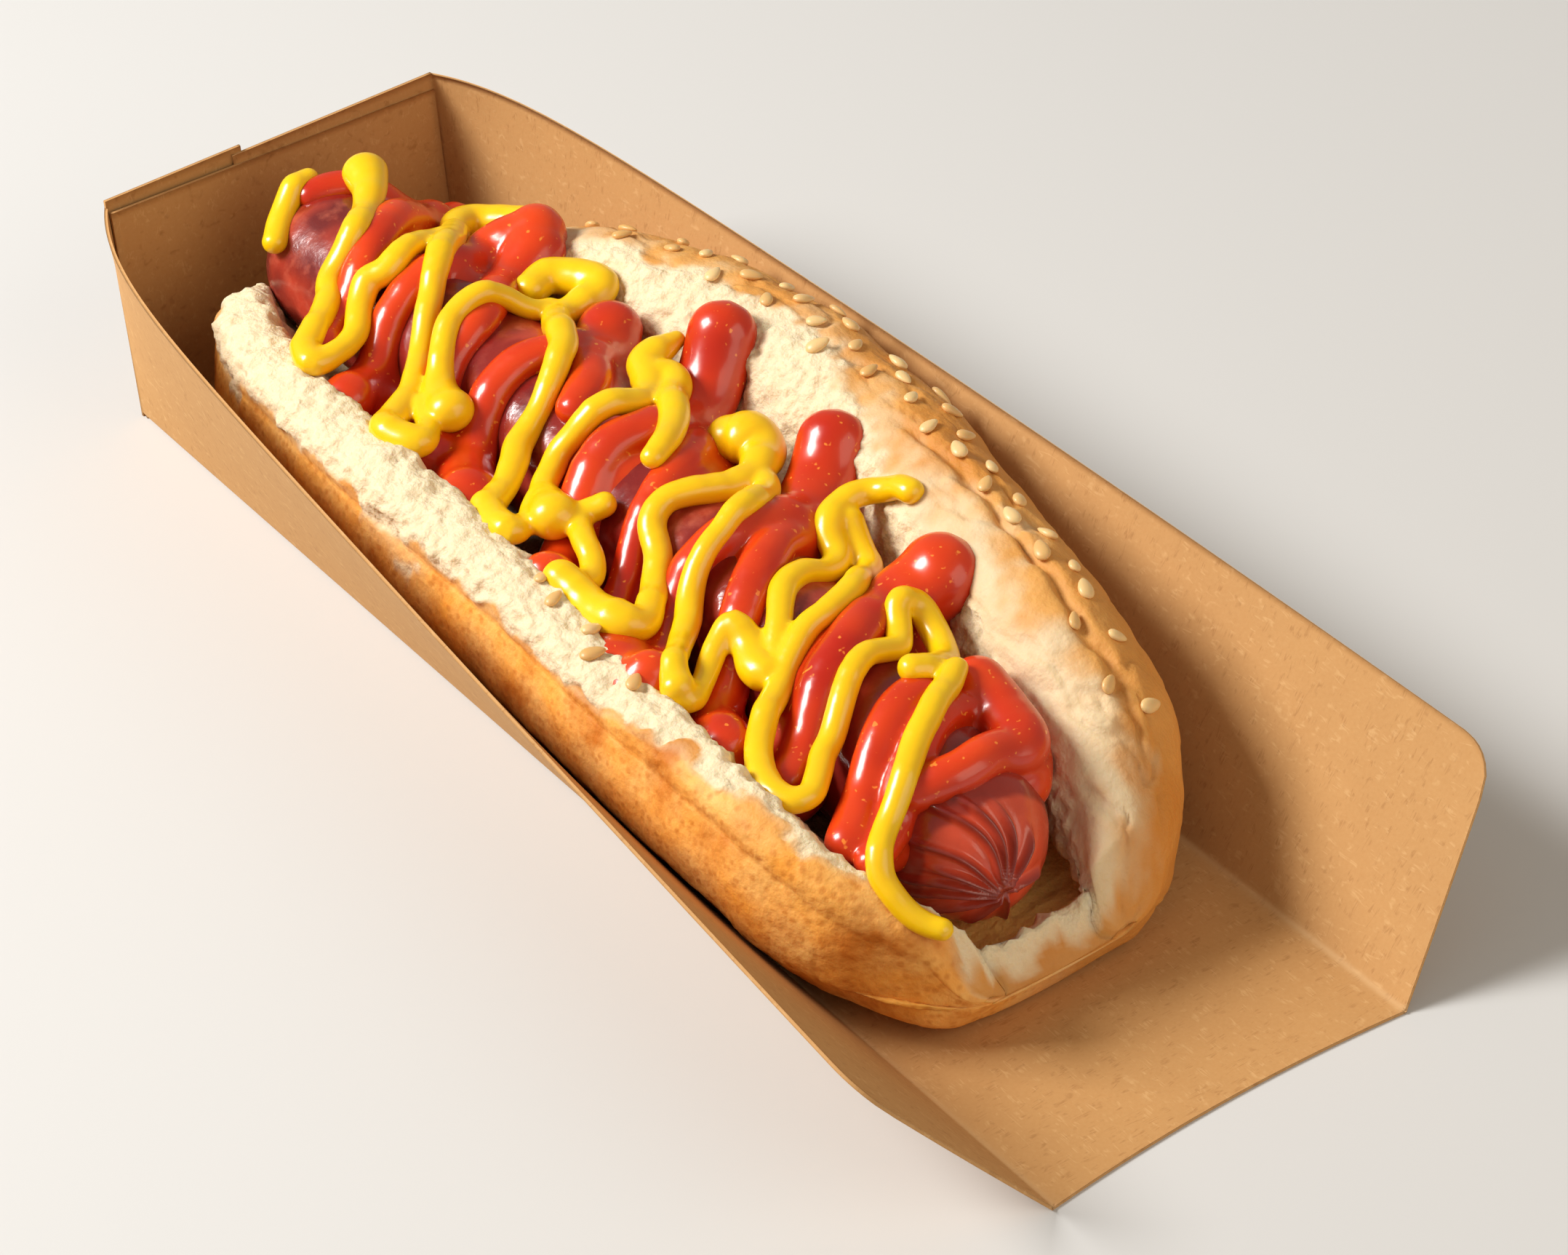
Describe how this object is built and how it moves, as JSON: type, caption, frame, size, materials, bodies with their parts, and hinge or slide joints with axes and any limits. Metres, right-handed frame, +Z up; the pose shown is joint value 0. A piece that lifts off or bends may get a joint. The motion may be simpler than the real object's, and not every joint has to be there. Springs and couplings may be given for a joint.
{
  "type": "hot dog",
  "caption": "Sausage in a split sesame bun with zigzags of ketchup and mustard, lying in an open-fronted folded kraft board case.",
  "frame": {"origin": "centre of the bounding box, on the plane that the case stands on", "axes": "+Z up, +X from the closed back of the case to its open front, +Y towards the seeded half of the bun"},
  "size_m": [0.232, 0.1018, 0.042],
  "materials": {
    "kraft_board": "matt uncoated kraft board",
    "bread": "baked crust, pale torn crumb on the cut face",
    "sausage_and_sauce": "wet glossy skin and sauces"
  },
  "bodies": {
    "root": {"paper_case": "kraft_board", "bun_bottom": "bread", "bun_top": "bread", "sausage": "sausage_and_sauce"}
  },
  "joints": []
}
